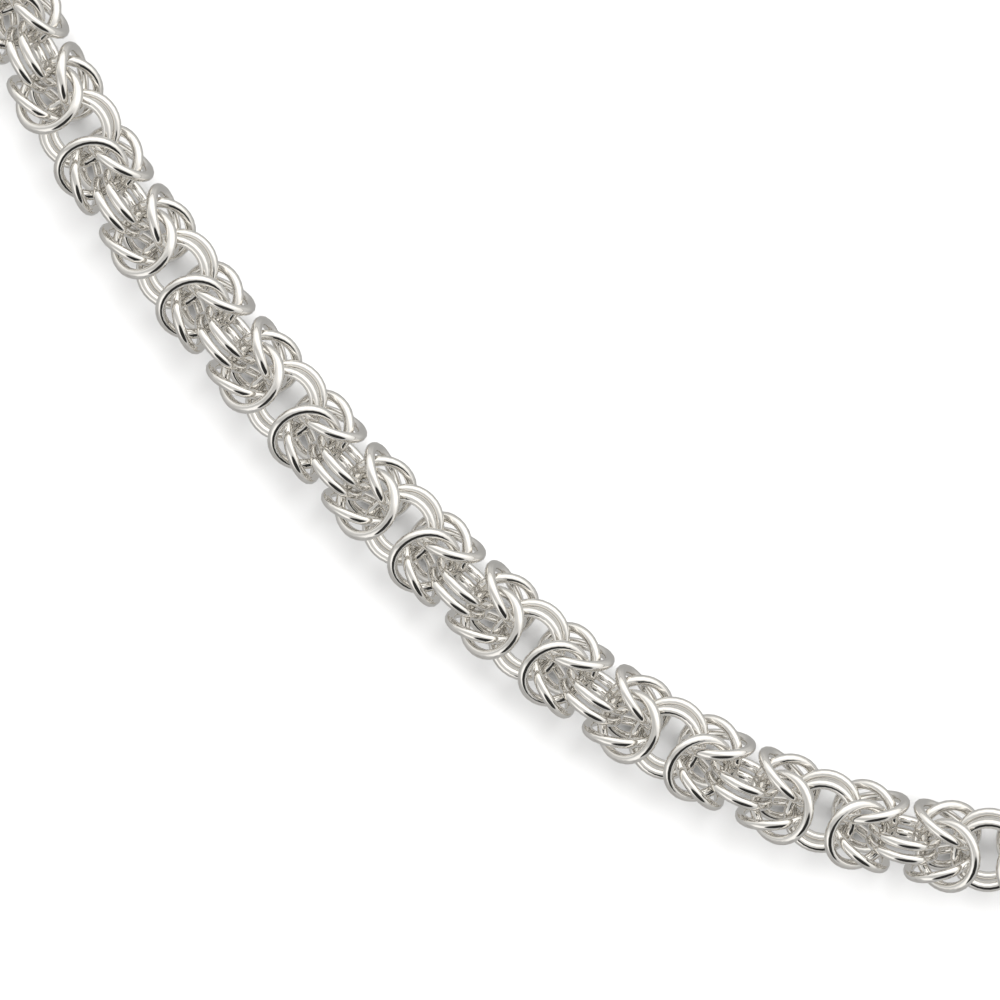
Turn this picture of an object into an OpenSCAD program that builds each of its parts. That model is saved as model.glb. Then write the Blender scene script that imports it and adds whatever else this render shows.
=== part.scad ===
// A byzantine chain necklace of round silver wire, lying flat as a closed loop.
// Units are millimetres. The loop is centred on the origin and rests on z = 0.

/* [Rings] */
// thickness of the ring wire
wire_d = 0.84; // [0.7:0.01:0.86]
// outside diameter of a ring
ring_od = 5.7; // [5.6:0.01:5.8]
// length of chain taken up by one repeat of twelve rings
pitch = 12.66; // [12.6:0.01:12.9]

/* [Loop] */
// length round the whole necklace, clasp and all
loop_length = 456; // [440:1:500]
// how far the loop is drawn out into an oval, as a share of its radius
oval = 0.04; // [0:0.005:0.06]
// direction of the oval's long axis, degrees from +X
oval_turn = -41; // [-90:1:90]
// how far the loop is drawn into three soft corners, as a share of its radius
corners = 0.055; // [0:0.005:0.06]
// direction of the first of the soft corners, degrees from +X
corner_turn = 40; // [0:1:120]
// place of the clasp's middle round the loop, degrees from +X
clasp_turn = 141.4; // [90:0.1:180]

/* [Chain] */
// repeats of the weave that are built ring by ring
weave_repeats = 16; // [1:1:18]
// width of the chain, and of the tube that stands for its rear stretch
chain_w = 7; // [6.5:0.1:7.2]
// height of the chain as it lies
chain_h = 6.5; // [6:0.1:6.8]

/* [Clasp] */
// diameter of the barrel
barrel_d = 5.8; // [5:0.1:6.4]
// rounding of the barrel's two ends
barrel_round = 1.6; // [0.5:0.1:2.4]
// outside diameter of each eye
eye_od = 5.2; // [4.8:0.1:5.4]
// thickness of an eye's wire
eye_wire = 0.9; // [0.8:0.05:1.1]
// how far an eye's wire stands inside the first ring of the chain, from the ring's outer edge
eye_reach = 2.2; // [1.9:0.1:2.4]
// smallest gap between pieces that don't touch
gap = 0.15; // [0.1:0.01:0.3]

/* [Hidden] */
ring_r = (ring_od - wire_d) / 2;
half_pitch = pitch / 2;
// connector pairs stand this far from the clasp's middle, on either side
repeats = floor((loop_length - 24) / pitch);
clasp_reach = (loop_length - repeats * pitch) / 2;

// Where each ring of half a repeat lies. Columns: place along as a share of half_pitch,
// place sideways and height as shares of ring_od, roll about the chain, lean along it.
// The second half of a repeat is the same knot mirrored.
ALONG = 0;
SIDE = 1;
UP = 2;
ROLL = 3;
LEAN = 4;
CONNECTOR = [
    [0, -0.05, 0.595, 11, 0],
    [0, 0.08, 0.44, 9.5, 0]];
KNOT = [
    [0.465, -0.125, 0.82, 15, 33],
    [0.5, 0.12, 0.3, 18, -25.5],
    [0.55, 0.26, 0.615, -70, -24],
    [0.53, -0.245, 0.47, -67.5, 25]];
BRIDGE = [
    [1, -0.12, 0.555, -68.5, 0],
    [1, 0.055, 0.575, -69.5, 0]];
// The heights are raised alike so that the lowest ring just touches the ground
function drop(row) =
    ring_r * sqrt(1 - pow(cos(row[ROLL]) * cos(row[LEAN]), 2)) + wire_d / 2 - row[UP] * ring_od;
lift = max([for (row = concat(CONNECTOR, KNOT, BRIDGE)) drop(row)]);

// The loop's plain shape at a polar angle, for a mean radius of 1
function rho(a) = 1 + oval * cos(2 * (a - oval_turn)) + corners * cos(3 * (a - corner_turn));
function shape(a) = rho(a) * [cos(a), sin(a)];
// Length along that shape, summed in steps, as pairs of [length, angle] from the clasp round
loop_step = 0.5;
loop_steps = 360 / loop_step;
function angle_at(i) = clasp_turn + i * loop_step;
chords = [for (i = [1:loop_steps]) norm(shape(angle_at(i)) - shape(angle_at(i - 1)))];
sums = [for (i = 0, s = 0; i <= loop_steps; s = s + (i < loop_steps ? chords[i] : 0), i = i + 1) s];
loop_r = loop_length / sums[loop_steps];
LENGTHS = [for (i = [0:loop_steps]) [loop_r * sums[i], angle_at(i)]];
function angle_for(s) = lookup(s, LENGTHS);
// the loop is moved so that its middle, left to right and front to back, is the origin
outline = [for (i = [0:loop_steps]) shape(angle_at(i))];
xs = [for (p = outline) p[0]];
ys = [for (p = outline) p[1]];
middle = [max(xs) + min(xs), max(ys) + min(ys)] / 2;
function point_at(s) = loop_r * (shape(angle_for(s)) - middle);
function heading_at(s) =
    let (a = angle_for(s), d = shape(a + 0.2) - shape(a - 0.2))
    atan2(d[1], d[0]);

weave_start = clasp_reach;
weave_end = weave_start + weave_repeats * pitch;
chain_end = weave_start + repeats * pitch;

silver = [0.86, 0.86, 0.85];
dark_silver = [0.72, 0.72, 0.71];

// One round of wire, lying in the XY plane
module ring() {
    rotate_extrude($fn = 48)
        translate([ring_r, 0])
            circle(d = wire_d, $fn = 16);
}

// A ring from the table, set on the loop. base is the length of its repeat's start,
// and way is 1 for the first half of a repeat and -1 for the mirrored one.
module placed_ring(row, base, way) {
    s = base + way * row[ALONG] * half_pitch;
    translate(point_at(s))
        rotate([0, 0, heading_at(s)])
            translate([0, row[SIDE] * ring_od, row[UP] * ring_od + lift])
                rotate([row[ROLL], 0, 0])
                    rotate([0, way * row[LEAN], 0])
                        ring();
}

// The rings that show in the photo, and some past its edges
module weave() {
    color(silver) {
        for (k = [0:weave_repeats], row = CONNECTOR)
            placed_ring(row, weave_start + k * pitch, 1);
        for (k = [0:weave_repeats - 1], row = BRIDGE)
            placed_ring(row, weave_start + k * pitch, 1);
        for (k = [0:weave_repeats - 1], row = KNOT, way = [1, -1])
            placed_ring(row, weave_start + (way > 0 ? k : k + 1) * pitch, way);
    }
}

// The stretch of the same chain that the photo leaves out, as a closed tube
tube_sides = 12;
tube_step = chain_w;
tube_from = weave_end + ring_od / 2 + gap;
tube_to = chain_end + ring_od / 2 - eye_reach - gap;
tube_rings = ceil((tube_to - tube_from) / tube_step);
function tube_s(i) = tube_from + (tube_to - tube_from) * i / tube_rings;
// the sides' corners stand out a little so that the flats keep the chain's width
flat_to_corner = 1 / cos(180 / tube_sides);
function tube_ring(s) =
    let (p = point_at(s), h = heading_at(s))
    [for (k = [0:tube_sides - 1])
        let (
            a = (k + 0.5) * 360 / tube_sides,
            out = cos(a) * chain_w / 2 * flat_to_corner,
            up = sin(a) * chain_h / 2 * flat_to_corner)
        [p[0] - out * sin(h), p[1] + out * cos(h), chain_h / 2 + up]];

module rear_chain() {
    points = [for (i = [0:tube_rings], q = tube_ring(tube_s(i))) q];
    sides = [
        for (i = [0:tube_rings - 1], k = [0:tube_sides - 1])
            let (n = (k + 1) % tube_sides, a = i * tube_sides, b = a + tube_sides)
            [a + k, b + k, b + n, a + n]];
    first_end = [for (k = [0:tube_sides - 1]) k];
    last_end = [for (k = [tube_sides - 1:-1:0]) tube_rings * tube_sides + k];
    color(dark_silver)
        polyhedron(points, concat(sides, [first_end, last_end]));
}

// The barrel with its two eyes, straight across the gap between the chain's ends
eye_r = (eye_od - eye_wire) / 2;
clasp_z = barrel_d / 2;
module clasp() {
    first = point_at(chain_end);
    across = point_at(weave_start) - first;
    run = norm(across);
    // from a connector pair's middle to the middle of the eye that holds it
    to_eye = ring_od / 2 - eye_reach + eye_wire / 2 + eye_r;
    barrel_l = run - 2 * (to_eye + eye_r);
    color(silver)
        translate([first[0], first[1], clasp_z])
            rotate([0, 0, atan2(across[1], across[0])]) {
                for (x = [to_eye, run - to_eye])
                    translate([x, 0, 0])
                        rotate([90, 0, 0])
                            rotate_extrude($fn = 48)
                                translate([eye_r, 0])
                                    circle(d = eye_wire, $fn = 16);
                translate([run / 2 - barrel_l / 2, 0, 0])
                    rotate([0, 90, 0])
                        rotate_extrude($fn = 64)
                            barrel_half(barrel_l);
            }
}

// Half the barrel's long section, with rounded ends
module barrel_half(length) {
    intersection() {
        offset(r = barrel_round)
            offset(delta = -barrel_round)
                translate([-barrel_d / 2, 0])
                    square([barrel_d, length]);
        square([barrel_d, length]);
    }
}

weave();
rear_chain();
clasp();
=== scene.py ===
"""Looks for a polished silver byzantine chain necklace, lying flat as a closed loop."""

from __future__ import annotations

import logging
import math
from bisect import bisect_right
from dataclasses import dataclass, field
from enum import Enum

import bpy
from mathutils import Matrix, Vector


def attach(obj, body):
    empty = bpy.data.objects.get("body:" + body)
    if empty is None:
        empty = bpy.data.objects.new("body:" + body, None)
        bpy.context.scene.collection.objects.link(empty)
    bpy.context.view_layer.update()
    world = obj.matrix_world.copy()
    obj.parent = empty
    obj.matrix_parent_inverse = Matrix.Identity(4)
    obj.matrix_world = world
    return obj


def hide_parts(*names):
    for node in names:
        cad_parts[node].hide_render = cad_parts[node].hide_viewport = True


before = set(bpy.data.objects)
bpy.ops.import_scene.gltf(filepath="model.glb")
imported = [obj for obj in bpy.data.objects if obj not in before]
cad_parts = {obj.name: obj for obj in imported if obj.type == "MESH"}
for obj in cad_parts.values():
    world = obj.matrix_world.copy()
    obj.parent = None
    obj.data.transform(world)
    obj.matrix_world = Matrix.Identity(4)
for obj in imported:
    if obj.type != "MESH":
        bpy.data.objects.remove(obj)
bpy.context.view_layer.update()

Tone = tuple[float, float, float]

MM = 0.001
IMAGE_SIDE_PX = 1000
PIXELS_PER_MM = 13.5

# The Mix node's sockets for colours
TONE_A = 6
TONE_B = 7
MIXED_TONE = 2

logging.basicConfig(level=logging.INFO, format="%(name)s: %(message)s")
log = logging.getLogger("necklace")


class Half(Enum):
    """Which half of a repeat a knot stands in; the second is the first one mirrored."""

    FIRST = 1
    MIRRORED = -1


def clear_selection() -> None:
    """Leaves object mode with nothing selected."""
    if bpy.context.object is not None and bpy.context.object.mode != "OBJECT":
        bpy.ops.object.mode_set(mode="OBJECT")
    bpy.ops.object.select_all(action="DESELECT")


# Shading


class Signal:
    """An output socket that adds Math nodes when it is used in a sum or product."""

    def __init__(self, graph: "Graph", socket: bpy.types.NodeSocket | None) -> None:
        """Wraps a socket.

        Args:
            graph: the graph that the socket belongs to.
            socket: the output socket, or None for a node that has none.
        """
        self.graph = graph
        self.socket = socket

    def _math(self, operation: str, *terms: "Signal | float") -> "Signal":
        """Adds one Math node and returns its output.

        Args:
            operation: the Math node's operation.
            terms: what feeds its inputs, in order.

        Returns:
            The node's value.
        """
        return self.graph.node(
            "ShaderNodeMath", {"operation": operation}, dict(enumerate(terms))
        )

    def __add__(self, other: "Signal | float") -> "Signal":
        """The sum."""
        return self._math("ADD", self, other)

    def __radd__(self, other: float) -> "Signal":
        """The sum, with the number first."""
        return self._math("ADD", other, self)

    def __sub__(self, other: "Signal | float") -> "Signal":
        """The difference."""
        return self._math("SUBTRACT", self, other)

    def __rsub__(self, other: float) -> "Signal":
        """The difference, with the number first."""
        return self._math("SUBTRACT", other, self)

    def __mul__(self, other: "Signal | float") -> "Signal":
        """The product."""
        return self._math("MULTIPLY", self, other)

    def __rmul__(self, other: float) -> "Signal":
        """The product, with the number first."""
        return self._math("MULTIPLY", other, self)


class Graph:
    """A node tree that is filled by one method."""

    def __init__(self, tree: bpy.types.NodeTree) -> None:
        """Empties a tree and wraps it.

        Args:
            tree: the material's or the world's node tree.
        """
        self.tree = tree
        tree.nodes.clear()

    def node(
        self,
        kind: str,
        settings: dict[str, object] | None = None,
        inputs: dict[str | int, object] | None = None,
        output: str | int = 0,
    ) -> Signal:
        """Adds a node, sets it and feeds it.

        Args:
            kind: the node's type.
            settings: its own settings.
            inputs: the values or signals of its sockets, by name or number.
            output: which of its outputs is returned.

        Returns:
            The chosen output.
        """
        made = self.tree.nodes.new(kind)
        for name, value in (settings or {}).items():
            setattr(made, name, value)
        for name, value in (inputs or {}).items():
            if isinstance(value, Signal):
                self.tree.links.new(value.socket, made.inputs[name])
            else:
                made.inputs[name].default_value = value
        return Signal(self, made.outputs[output] if len(made.outputs) else None)


def blend(graph: Graph, share: Signal, first: Tone, second: Tone) -> Signal:
    """A tone between two others.

    Args:
        graph: the material's graph.
        share: how much of the second tone shows.
        first: the first tone.
        second: the second tone.

    Returns:
        The tone.
    """
    return graph.node(
        "ShaderNodeMix",
        {"data_type": "RGBA"},
        {"Factor": share, TONE_A: (*first, 1.0), TONE_B: (*second, 1.0)},
        MIXED_TONE,
    )


@dataclass(frozen=True)
class PolishedSilver:
    """Bright polished silver wire, with the faint waviness and hairlines of use."""

    name: str
    tone: Tone = (0.93, 0.915, 0.89)
    shade_tone: Tone = (0.86, 0.84, 0.80)
    roughness: float = 0.05
    roughness_spread: float = 0.05
    plain_wear: float = 0.4
    wave_mm: float = 0.014
    wave_scale: float = 260.0
    hairline_mm: float = 0.0012
    hairline_scale: float = 1400.0

    def material(self) -> bpy.types.Material:
        """Makes the material.

        Returns:
            The material.
        """
        made = bpy.data.materials.new(self.name)
        made.use_nodes = True
        graph = Graph(made.node_tree)
        place = graph.node("ShaderNodeTexCoord", output="Object")
        wave = graph.node(
            "ShaderNodeTexNoise",
            inputs={"Vector": place, "Scale": self.wave_scale, "Detail": 3.0, "Roughness": 0.55},
        )
        wear = graph.node(
            "ShaderNodeTexNoise",
            inputs={"Vector": place, "Scale": self.hairline_scale, "Detail": 4.0, "Roughness": 0.6},
        )
        roughness = self.roughness + self.roughness_spread * (wear - self.plain_wear)
        height = self.wave_mm * wave + self.hairline_mm * wear
        relief = graph.node(
            "ShaderNodeBump", inputs={"Height": height, "Strength": 1.0, "Distance": MM}
        )
        surface = graph.node(
            "ShaderNodeBsdfPrincipled",
            inputs={
                "Base Color": blend(graph, wave, self.tone, self.shade_tone),
                "Metallic": 1.0,
                "Roughness": roughness,
                "Normal": relief,
            },
        )
        graph.node("ShaderNodeOutputMaterial", inputs={"Surface": surface})
        return made


@dataclass(frozen=True)
class PaleGround:
    """The plain pale board that the necklace lies on, lit until it shows white."""

    name: str = "pale_board"
    tone: Tone = (0.52, 0.52, 0.52)
    speck_tone: Tone = (0.54, 0.54, 0.54)
    speck_scale: float = 90.0
    roughness: float = 0.9

    def material(self) -> bpy.types.Material:
        """Makes the material.

        Returns:
            The material.
        """
        made = bpy.data.materials.new(self.name)
        made.use_nodes = True
        graph = Graph(made.node_tree)
        place = graph.node("ShaderNodeTexCoord", output="Object")
        speck = graph.node(
            "ShaderNodeTexNoise", inputs={"Vector": place, "Scale": self.speck_scale}
        )
        surface = graph.node(
            "ShaderNodeBsdfPrincipled",
            inputs={
                "Base Color": blend(graph, speck, self.tone, self.speck_tone),
                "Roughness": self.roughness,
            },
        )
        graph.node("ShaderNodeOutputMaterial", inputs={"Surface": surface})
        return made


# The loop


@dataclass
class LoopRoute:
    """The line that the middle of the chain follows, in millimetres and degrees."""

    length: float = 456.0
    oval: float = 0.04
    oval_turn: float = -41.0
    corners: float = 0.055
    corner_turn: float = 40.0
    clasp_turn: float = 141.4
    step: float = 0.5
    sight: float = 0.2
    angles: list[float] = field(init=False)
    lengths: list[float] = field(init=False)
    radius: float = field(init=False)
    middle: Vector = field(init=False)

    def __post_init__(self) -> None:
        """Sums the length along the loop, from the clasp round."""
        count = round(360 / self.step)
        self.angles = [self.clasp_turn + i * self.step for i in range(count + 1)]
        points = [self.plain(a) for a in self.angles]
        sums = [0.0]
        for before, after in zip(points, points[1:]):
            sums.append(sums[-1] + (after - before).length)
        self.radius = self.length / sums[-1]
        self.lengths = [self.radius * s for s in sums]
        xs = [p.x for p in points]
        ys = [p.y for p in points]
        self.middle = Vector(((max(xs) + min(xs)) / 2, (max(ys) + min(ys)) / 2))

    def plain(self, angle: float) -> Vector:
        """The loop at a polar angle, for a mean radius of 1.

        Args:
            angle: degrees from +X.

        Returns:
            The point.
        """
        share = (
            1
            + self.oval * math.cos(math.radians(2 * (angle - self.oval_turn)))
            + self.corners * math.cos(math.radians(3 * (angle - self.corner_turn)))
        )
        turn = math.radians(angle)
        return Vector((share * math.cos(turn), share * math.sin(turn)))

    def angle_for(self, along: float) -> float:
        """The polar angle that lies a length along the loop.

        Args:
            along: length from the clasp's middle.

        Returns:
            Degrees from +X.
        """
        i = max(1, min(len(self.lengths) - 1, bisect_right(self.lengths, along)))
        low, high = self.lengths[i - 1], self.lengths[i]
        share = (along - low) / (high - low)
        return self.angles[i - 1] + share * (self.angles[i] - self.angles[i - 1])

    def station(self, along: float) -> Matrix:
        """The frame at a length along the loop: X ahead, Y inwards, Z up.

        Args:
            along: length from the clasp's middle.

        Returns:
            The frame, in millimetres.
        """
        angle = self.angle_for(along)
        spot = self.radius * (self.plain(angle) - self.middle)
        ahead = self.plain(angle + self.sight) - self.plain(angle - self.sight)
        return Matrix.Translation((spot.x, spot.y, 0)) @ Matrix.Rotation(
            math.atan2(ahead.y, ahead.x), 4, "Z"
        )


# The rings


@dataclass
class RingForm:
    """One closed ring of round wire, modelled once and copied."""

    outside_mm: float = 5.7
    wire_mm: float = 0.84
    sides: int = 16
    wire_sides: int = 6
    weld_share: float = 0.05

    @property
    def radius_mm(self) -> float:
        """Radius of the middle of the wire."""
        return (self.outside_mm - self.wire_mm) / 2

    @staticmethod
    def _cage(radius: float, sides: int) -> float:
        """How large a cage is, for its subdivided corners to keep a radius.

        Args:
            radius: the radius wanted.
            sides: the cage's sides.

        Returns:
            The cage's radius.
        """
        return radius / math.cos(math.pi / sides)

    def model(self, name: str) -> bpy.types.Object:
        """Models the ring flat on its own middle: a round of wire is spun full circle.

        Args:
            name: the object's name.

        Returns:
            The ring.
        """
        clear_selection()
        bpy.ops.mesh.primitive_circle_add(
            vertices=self.wire_sides,
            radius=self._cage(self.wire_mm / 2, self.wire_sides) * MM,
            fill_type="NOTHING",
            location=(self._cage(self.radius_mm, self.sides) * MM, 0, 0),
            rotation=(math.pi / 2, 0, 0),
        )
        ring = bpy.context.object
        ring.name = name
        bpy.ops.object.transform_apply(location=True, rotation=True, scale=True)
        bpy.ops.object.mode_set(mode="EDIT")
        bpy.ops.mesh.select_all(action="SELECT")
        bpy.ops.mesh.spin(
            steps=self.sides, angle=2 * math.pi, center=(0, 0, 0), axis=(0, 0, 1)
        )
        bpy.ops.mesh.select_all(action="SELECT")
        bpy.ops.mesh.remove_doubles(threshold=self.weld_share * self.wire_mm * MM)
        bpy.ops.mesh.normals_make_consistent(inside=False)
        bpy.ops.object.mode_set(mode="OBJECT")
        smooth = ring.modifiers.new("roundness", "SUBSURF")
        smooth.levels = smooth.render_levels = 1
        bpy.ops.object.modifier_apply(modifier=smooth.name)
        bpy.ops.object.shade_smooth()
        return ring


@dataclass(frozen=True)
class RingPlace:
    """Where a ring lies in its half of a repeat.

    along is a share of half the repeat, side and up are shares of the ring's outside
    diameter, and roll and lean are degrees about the chain and along it.
    """

    along: float
    side: float
    up: float
    roll: float
    lean: float = 0.0

    def tilt(self, half: Half) -> Matrix:
        """The ring's turn in its station.

        Args:
            half: the half of the repeat.

        Returns:
            The turn.
        """
        return Matrix.Rotation(math.radians(self.roll), 4, "X") @ Matrix.Rotation(
            math.radians(half.value * self.lean), 4, "Y"
        )


@dataclass
class Weave:
    """The chain: pairs of rings, with a knot of four between each pair and the next."""

    route: LoopRoute
    ring: RingForm
    silver: bpy.types.Material
    repeat_mm: float = 12.66
    repeats: int = 34
    front_repeats: int = 16
    connector: tuple[RingPlace, ...] = (
        RingPlace(0, -0.05, 0.595, 11),
        RingPlace(0, 0.08, 0.44, 9.5),
    )
    knot: tuple[RingPlace, ...] = (
        RingPlace(0.465, -0.125, 0.82, 15, 33),
        RingPlace(0.5, 0.12, 0.3, 18, -25.5),
        RingPlace(0.55, 0.26, 0.615, -70, -24),
        RingPlace(0.53, -0.245, 0.47, -67.5, 25),
    )
    bridge: tuple[RingPlace, ...] = (
        RingPlace(1, -0.12, 0.555, -68.5),
        RingPlace(1, 0.055, 0.575, -69.5),
    )

    @property
    def clasp_reach_mm(self) -> float:
        """Length from the clasp's middle to the connector pair on either side of it."""
        return (self.route.length - self.repeats * self.repeat_mm) / 2

    @property
    def lift_mm(self) -> float:
        """How far the rings are raised, for the lowest one to touch the ground."""
        drops = []
        for place in (*self.connector, *self.knot, *self.bridge):
            upright = place.tilt(Half.FIRST).to_3x3() @ Vector((0, 0, 1))
            reach = self.ring.radius_mm * math.sqrt(1 - upright.z**2)
            drops.append(reach + self.ring.wire_mm / 2 - place.up * self.ring.outside_mm)
        return max(drops)

    def placed(self, place: RingPlace, start: float, half: Half) -> Matrix:
        """The frame of one ring, in metres.

        Args:
            place: the ring's row.
            start: length along the loop of the pair that its half begins at.
            half: the half of the repeat.

        Returns:
            The frame.
        """
        along = start + half.value * place.along * self.repeat_mm / 2
        size = self.ring.outside_mm
        shift = Matrix.Translation(
            (0, place.side * size, place.up * size + self.lift_mm)
        )
        return (
            Matrix.Scale(MM, 4)
            @ self.route.station(along)
            @ shift
            @ place.tilt(half)
            @ Matrix.Scale(1 / MM, 4)
        )

    def frames(self, first: int, last: int, opening_pair: bool) -> list[Matrix]:
        """The frames of all rings between two repeats.

        Args:
            first: the repeat that the stretch begins with.
            last: the repeat that it ends before.
            opening_pair: whether the pair before the first repeat is part of it.

        Returns:
            The frames, along the chain.
        """
        made: list[Matrix] = []
        if opening_pair:
            start = self.clasp_reach_mm + first * self.repeat_mm
            made += [self.placed(row, start, Half.FIRST) for row in self.connector]
        for number in range(first, last):
            start = self.clasp_reach_mm + number * self.repeat_mm
            after = start + self.repeat_mm
            made += [self.placed(row, start, Half.FIRST) for row in self.knot]
            made += [self.placed(row, start, Half.FIRST) for row in self.bridge]
            made += [self.placed(row, after, Half.MIRRORED) for row in self.knot]
            made += [self.placed(row, after, Half.FIRST) for row in self.connector]
        return made

    def stretch(
        self, name: str, first: int, last: int, opening_pair: bool, node: str
    ) -> bpy.types.Object:
        """Builds a stretch of the weave as one piece that stands for a solid.

        Args:
            name: the piece's name.
            first: the repeat that the stretch begins with.
            last: the repeat that it ends before.
            opening_pair: whether the pair before the first repeat is part of it.
            node: the solid that it stands for.

        Returns:
            The piece.
        """
        pattern = self.ring.model(name)
        rings = [pattern]
        places = self.frames(first, last, opening_pair)
        for _ in places[1:]:
            copy = pattern.copy()
            copy.data = pattern.data.copy()
            bpy.context.collection.objects.link(copy)
            rings.append(copy)
        for ring, place in zip(rings, places):
            ring.data.transform(place)
        clear_selection()
        for ring in rings:
            ring.select_set(True)
        bpy.context.view_layer.objects.active = pattern
        bpy.ops.object.join()
        piece = bpy.context.object
        piece.data.materials.clear()
        piece.data.materials.append(self.silver)
        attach(piece, "root")
        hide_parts(node)
        log.info("%s: %d rings, %d faces", name, len(places), len(piece.data.polygons))
        return piece


@dataclass
class Clasp:
    """The barrel clasp with its two eyes, which keeps its own solid."""

    silver: bpy.types.Material

    def dress(self) -> bpy.types.Object:
        """Gives the clasp its finish.

        Returns:
            The clasp.
        """
        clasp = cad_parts["clasp"]
        clasp.data.materials.clear()
        clasp.data.materials.append(self.silver)
        log.info("clasp: %d faces", len(clasp.data.polygons))
        return clasp


# The studio


def heading(azimuth: float, elevation: float) -> Vector:
    """The unit vector that points at a place in the studio.

    Args:
        azimuth: degrees from +X, counter-clockwise.
        elevation: degrees above the board.

    Returns:
        The vector.
    """
    turn, rise = math.radians(azimuth), math.radians(elevation)
    return Vector(
        (math.cos(rise) * math.cos(turn), math.cos(rise) * math.sin(turn), math.sin(rise))
    )


def along_axis(graph: Graph, around: Signal, axis: Vector) -> Signal:
    """How far a direction points along an axis.

    Args:
        graph: the world's graph.
        around: the direction.
        axis: the axis, a unit vector.

    Returns:
        The cosine between them.
    """
    return graph.node(
        "ShaderNodeVectorMath", {"operation": "DOT_PRODUCT"}, {0: around, 1: tuple(axis)}, "Value"
    )


def smooth_fall(graph: Graph, value: Signal, start: float, end: float) -> Signal:
    """A share that falls smoothly from 1 to 0.

    Args:
        graph: the graph.
        value: what it follows.
        start: the value at which it begins to fall.
        end: the value at which it has fallen.

    Returns:
        The share.
    """
    return graph.node(
        "ShaderNodeMapRange",
        {"interpolation_type": "SMOOTHSTEP"},
        {"Value": value, "From Min": start, "From Max": end, "To Min": 1.0, "To Max": 0.0},
    )


@dataclass(frozen=True)
class Patch:
    """An oval patch of the studio's walls, in degrees, with its own brightness."""

    azimuth: float
    elevation: float
    half_width: float
    half_height: float
    level: float
    softness: float

    def over(self, graph: Graph, around: Signal, under: Signal) -> Signal:
        """Lays the patch over the brightness so far.

        Args:
            graph: the world's graph.
            around: the direction looked at.
            under: the brightness that the patch covers.

        Returns:
            The brightness with the patch.
        """
        ahead = heading(self.azimuth, self.elevation)
        side = heading(self.azimuth + 90, 0)
        rise = ahead.cross(side)
        facing = along_axis(graph, around, ahead)
        across = along_axis(graph, around, side) * (1 / math.sin(math.radians(self.half_width)))
        up = along_axis(graph, around, rise) * (1 / math.sin(math.radians(self.half_height)))
        share = smooth_fall(
            graph, across * across + up * up, (1 - self.softness) ** 2, (1 + self.softness) ** 2
        )
        front = graph.node("ShaderNodeMath", {"operation": "GREATER_THAN"}, {0: facing, 1: 0.0})
        cover = share * front
        return under + cover * (self.level - under)


@dataclass(frozen=True)
class Panel:
    """A round soft light that faces the necklace, in degrees, metres and watts."""

    name: str
    azimuth: float
    elevation: float
    distance: float
    size: float
    watts: float

    def hang(self, target: Vector) -> None:
        """Hangs the panel.

        Args:
            target: the point that it faces.
        """
        data = bpy.data.lights.new(self.name, "AREA")
        data.shape = "DISK"
        data.size = self.size
        data.energy = self.watts
        lamp = bpy.data.objects.new(self.name, data)
        bpy.context.collection.objects.link(lamp)
        # the polished wire shows the walls alone
        lamp.visible_glossy = False
        toward = heading(self.azimuth, self.elevation)
        lamp.location = target + toward * self.distance
        lamp.rotation_euler = toward.to_track_quat("Z", "Y").to_euler()


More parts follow.
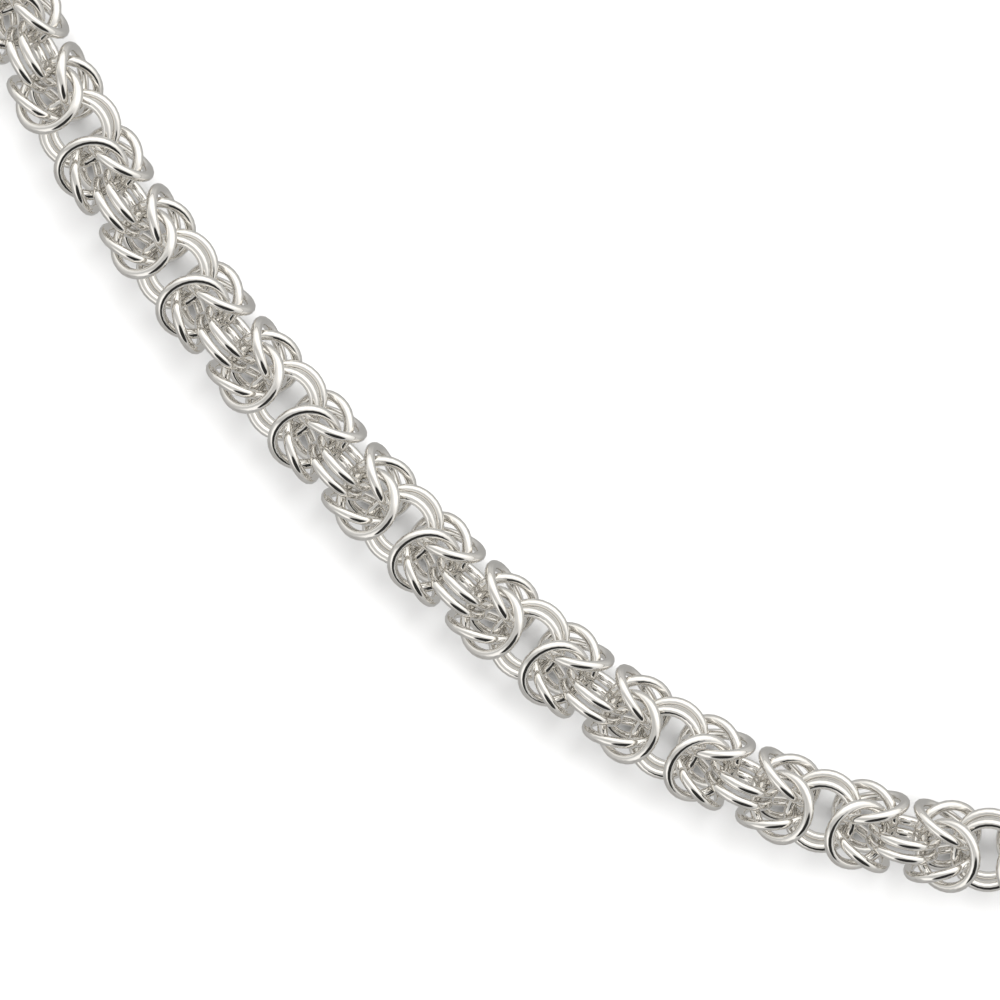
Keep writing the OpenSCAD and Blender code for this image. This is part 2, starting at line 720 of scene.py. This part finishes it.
@dataclass
class Studio:
    """Pale board, soft light and a camera that looks straight down."""

    view_mm: tuple[float, float] = (-31.61, -45.52)
    view_height_mm: float = 3.3
    view_width_mm: float = IMAGE_SIDE_PX / PIXELS_PER_MM
    camera_height_mm: float = 1000.0
    sensor_mm: float = 36.0
    clip_m: tuple[float, float] = (0.05, 20.0)
    board_mm: float = 6000.0
    around_level: float = 0.6
    around_favour: float = 0.2
    around_azimuth: float = 60.0
    around_folds: float = 0.45
    around_fold_scale: float = 2.2
    around_tone: Tone = (1.0, 0.99, 0.97)
    patches: tuple[Patch, ...] = (
        Patch(62, 40, 54, 30, 1.3, 0.5),
        Patch(235, 34, 36, 18, 1.1, 0.5),
        Patch(0, -90, 62, 62, 0.42, 0.3),
        Patch(-75, 44, 34, 30, 0.03, 0.1),
    )
    wall_count: int = 6
    wall_start: float = -10.0
    wall_elevation: float = 36.0
    wall_distance: float = 1.0
    wall_size: float = 0.6
    bright_watts: float = 8.4
    dim_watts: float = 5.3

    def board(self) -> bpy.types.Object:
        """Lays the board.

        Returns:
            The board.
        """
        clear_selection()
        bpy.ops.mesh.primitive_plane_add(size=self.board_mm * MM)
        board = bpy.context.object
        board.name = "board"
        board.data.materials.append(PaleGround().material())
        board.visible_glossy = False
        return board

    def camera(self) -> bpy.types.Object:
        """Hangs the camera over the stretch in view.

        Returns:
            The camera.
        """
        data = bpy.data.cameras.new("camera")
        data.sensor_width = self.sensor_mm
        data.lens = data.sensor_width * self.camera_height_mm / self.view_width_mm
        data.clip_start = self.clip_m[0]
        data.clip_end = self.clip_m[1]
        camera = bpy.data.objects.new("camera", data)
        bpy.context.collection.objects.link(camera)
        x, y = self.view_mm
        camera.location = Vector((x, y, self.view_height_mm + self.camera_height_mm)) * MM
        bpy.context.scene.camera = camera
        return camera

    def walls(self) -> list[Panel]:
        """The lights all round the necklace, brighter over its first half.

        Returns:
            The lights.
        """
        return [
            Panel(
                f"wall_{number + 1}",
                self.wall_start + number * 360 / self.wall_count,
                self.wall_elevation,
                self.wall_distance,
                self.wall_size,
                self.bright_watts if number < self.wall_count / 2 else self.dim_watts,
            )
            for number in range(self.wall_count)
        ]

    def light(self) -> None:
        """Lights the board and gives the wire its bright and dark bands."""
        world = bpy.data.worlds.new("studio")
        bpy.context.scene.world = world
        world.use_nodes = True
        graph = Graph(world.node_tree)
        around = graph.node("ShaderNodeTexCoord", output="Generated")
        folds = graph.node(
            "ShaderNodeTexNoise",
            inputs={"Vector": around, "Scale": self.around_fold_scale, "Detail": 2.0},
        )
        side = along_axis(graph, around, heading(self.around_azimuth, 0))
        level = self.around_level * (
            1 + self.around_favour * side + self.around_folds * (folds - 0.5) * 2
        )
        for patch in self.patches:
            level = patch.over(graph, around, level)
        glow = graph.node(
            "ShaderNodeBackground",
            inputs={"Color": (*self.around_tone, 1.0), "Strength": level},
        )
        graph.node("ShaderNodeOutputWorld", inputs={"Surface": glow})
        for panel in self.walls():
            panel.hang(Vector((*self.view_mm, 0)) * MM)
        bpy.context.scene.view_settings.view_transform = "Standard"


def main() -> None:
    """Builds the studio and the necklace, and reports each piece."""
    studio = Studio()
    studio.camera()
    studio.board()
    studio.light()
    route = LoopRoute()
    silver = PolishedSilver("polished_silver").material()
    weave = Weave(route, RingForm(), silver)
    weave.stretch("front_weave", 0, weave.front_repeats, True, "weave")
    weave.stretch(
        "rear_weave", weave.front_repeats, weave.repeats, False, "rear_chain"
    )
    Clasp(silver).dress()


if __name__ == "__main__":
    main()
